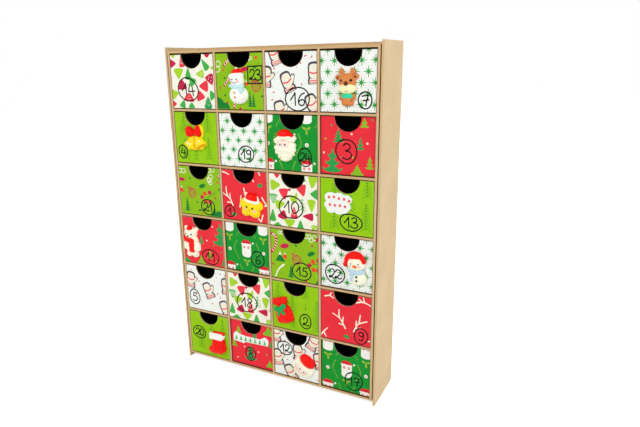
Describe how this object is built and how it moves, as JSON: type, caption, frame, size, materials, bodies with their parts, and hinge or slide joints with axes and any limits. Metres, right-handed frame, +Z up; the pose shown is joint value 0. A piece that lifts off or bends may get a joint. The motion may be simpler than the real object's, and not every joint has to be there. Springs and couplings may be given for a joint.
{
  "type": "advent calendar",
  "caption": "Standing board cabinet of pull-out card drawers with round thumb notches, printed and hand-numbered fronts and small glued charms, in a three-board cover.",
  "frame": {"origin": "middle of the bottom of the whole box, on the surface that the cover stands on", "axes": "+Z up, +X to the viewer's right, drawer fronts facing -Y; drawers pull out along -Y"},
  "size_m": [0.2282, 0.0618, 0.3455],
  "materials": {
    "cover_board": "matte kraft-faced board",
    "cabinet_board": "matte kraft board, cut edges",
    "drawer_card": "matte kraft card",
    "printed_paper": "printed paper, slightly glossy",
    "white_resin": "moulded resin, satin",
    "cream_resin": "moulded resin, satin",
    "brown_resin": "moulded resin, satin",
    "yellow_resin": "moulded resin, satin",
    "red_resin": "moulded resin, satin",
    "green_resin": "moulded resin, satin",
    "blue_resin": "moulded resin, satin",
    "black_paint": "gloss black paint dots"
  },
  "bodies": {
    "cabinet": {"cover_left_panel": "cover_board", "cover_back_panel": "cover_board", "cover_right_panel": "cover_board", "cabinet_left_wall": "cabinet_board", "cabinet_right_wall": "cabinet_board", "cabinet_bottom": "cabinet_board", "cabinet_top": "cabinet_board", "shelf_1": "cabinet_board", "shelf_2": "cabinet_board", "shelf_3": "cabinet_board", "shelf_4": "cabinet_board", "shelf_5": "cabinet_board", "divider_1": "cabinet_board", "divider_2": "cabinet_board", "divider_3": "cabinet_board"},
    "drawer_14": {"drawer_tray_14": "drawer_card"},
    "drawer_23": {"drawer_tray_23": "drawer_card", "capped_snowman_charm_23": "white_resin"},
    "drawer_16": {"drawer_tray_16": "drawer_card"},
    "drawer_07": {"drawer_tray_07": "drawer_card", "reindeer_charm_07": "brown_resin"},
    "drawer_04": {"drawer_tray_04": "drawer_card", "bells_charm_04": "yellow_resin"},
    "drawer_19": {"drawer_tray_19": "drawer_card"},
    "drawer_24": {"drawer_tray_24": "drawer_card", "bearded_head_charm_24": "cream_resin"},
    "drawer_03": {"drawer_tray_03": "drawer_card"},
    "drawer_21": {"drawer_tray_21": "drawer_card"},
    "drawer_01": {"drawer_tray_01": "drawer_card", "star_charm_01": "yellow_resin"},
    "drawer_10": {"drawer_tray_10": "drawer_card"},
    "drawer_13": {"drawer_tray_13": "drawer_card"},
    "drawer_11": {"drawer_tray_11": "drawer_card", "bear_charm_11": "white_resin"},
    "drawer_06": {"drawer_tray_06": "drawer_card"},
    "drawer_15": {"drawer_tray_15": "drawer_card"},
    "drawer_22": {"drawer_tray_22": "drawer_card", "hooded_snowman_charm_22": "white_resin"},
    "drawer_05": {"drawer_tray_05": "drawer_card"},
    "drawer_18": {"drawer_tray_18": "drawer_card"},
    "drawer_02": {"drawer_tray_02": "drawer_card", "sack_charm_02": "red_resin"},
    "drawer_09": {"drawer_tray_09": "drawer_card"},
    "drawer_20": {"drawer_tray_20": "drawer_card", "stocking_charm_20": "red_resin"},
    "drawer_08": {"drawer_tray_08": "drawer_card"},
    "drawer_12": {"drawer_tray_12": "drawer_card", "round_face_charm_12": "cream_resin"},
    "drawer_17": {"drawer_tray_17": "drawer_card"}
  },
  "joints": [
    {"name": "drawer_14_slide", "type": "slide", "parent": "cabinet", "child": "drawer_14", "axis": [0, -1, 0], "range_m": [-0.0015, 0.0518]},
    {"name": "drawer_23_slide", "type": "slide", "parent": "cabinet", "child": "drawer_23", "axis": [0, -1, 0], "range_m": [-0.0015, 0.0518]},
    {"name": "drawer_16_slide", "type": "slide", "parent": "cabinet", "child": "drawer_16", "axis": [0, -1, 0], "range_m": [-0.0015, 0.0518]},
    {"name": "drawer_07_slide", "type": "slide", "parent": "cabinet", "child": "drawer_07", "axis": [0, -1, 0], "range_m": [-0.001, 0.0523]},
    {"name": "drawer_04_slide", "type": "slide", "parent": "cabinet", "child": "drawer_04", "axis": [0, -1, 0], "range_m": [-0.0015, 0.0518]},
    {"name": "drawer_19_slide", "type": "slide", "parent": "cabinet", "child": "drawer_19", "axis": [0, -1, 0], "range_m": [-0.001, 0.0523]},
    {"name": "drawer_24_slide", "type": "slide", "parent": "cabinet", "child": "drawer_24", "axis": [0, -1, 0], "range_m": [-0.001, 0.0523]},
    {"name": "drawer_03_slide", "type": "slide", "parent": "cabinet", "child": "drawer_03", "axis": [0, -1, 0], "range_m": [-0.0003, 0.053]},
    {"name": "drawer_21_slide", "type": "slide", "parent": "cabinet", "child": "drawer_21", "axis": [0, -1, 0], "range_m": [-0.0017, 0.0516]},
    {"name": "drawer_01_slide", "type": "slide", "parent": "cabinet", "child": "drawer_01", "axis": [0, -1, 0], "range_m": [-0.0015, 0.0518]},
    {"name": "drawer_10_slide", "type": "slide", "parent": "cabinet", "child": "drawer_10", "axis": [0, -1, 0], "range_m": [-0.0017, 0.0516]},
    {"name": "drawer_13_slide", "type": "slide", "parent": "cabinet", "child": "drawer_13", "axis": [0, -1, 0], "range_m": [-0.0015, 0.0518]},
    {"name": "drawer_11_slide", "type": "slide", "parent": "cabinet", "child": "drawer_11", "axis": [0, -1, 0], "range_m": [-0.0017, 0.0516]},
    {"name": "drawer_06_slide", "type": "slide", "parent": "cabinet", "child": "drawer_06", "axis": [0, -1, 0], "range_m": [-0.0003, 0.053]},
    {"name": "drawer_15_slide", "type": "slide", "parent": "cabinet", "child": "drawer_15", "axis": [0, -1, 0], "range_m": [-0.0015, 0.0518]},
    {"name": "drawer_22_slide", "type": "slide", "parent": "cabinet", "child": "drawer_22", "axis": [0, -1, 0], "range_m": [-0.0003, 0.053]},
    {"name": "drawer_05_slide", "type": "slide", "parent": "cabinet", "child": "drawer_05", "axis": [0, -1, 0], "range_m": [-0.0017, 0.0516]},
    {"name": "drawer_18_slide", "type": "slide", "parent": "cabinet", "child": "drawer_18", "axis": [0, -1, 0], "range_m": [-0.0017, 0.0516]},
    {"name": "drawer_02_slide", "type": "slide", "parent": "cabinet", "child": "drawer_02", "axis": [0, -1, 0], "range_m": [-0.0015, 0.0518]},
    {"name": "drawer_09_slide", "type": "slide", "parent": "cabinet", "child": "drawer_09", "axis": [0, -1, 0], "range_m": [-0.0015, 0.0518]},
    {"name": "drawer_20_slide", "type": "slide", "parent": "cabinet", "child": "drawer_20", "axis": [0, -1, 0], "range_m": [-0.0017, 0.0516]},
    {"name": "drawer_08_slide", "type": "slide", "parent": "cabinet", "child": "drawer_08", "axis": [0, -1, 0], "range_m": [-0.0003, 0.053]},
    {"name": "drawer_12_slide", "type": "slide", "parent": "cabinet", "child": "drawer_12", "axis": [0, -1, 0], "range_m": [-0.001, 0.0523]},
    {"name": "drawer_17_slide", "type": "slide", "parent": "cabinet", "child": "drawer_17", "axis": [0, -1, 0], "range_m": [-0.0003, 0.053]}
  ]
}
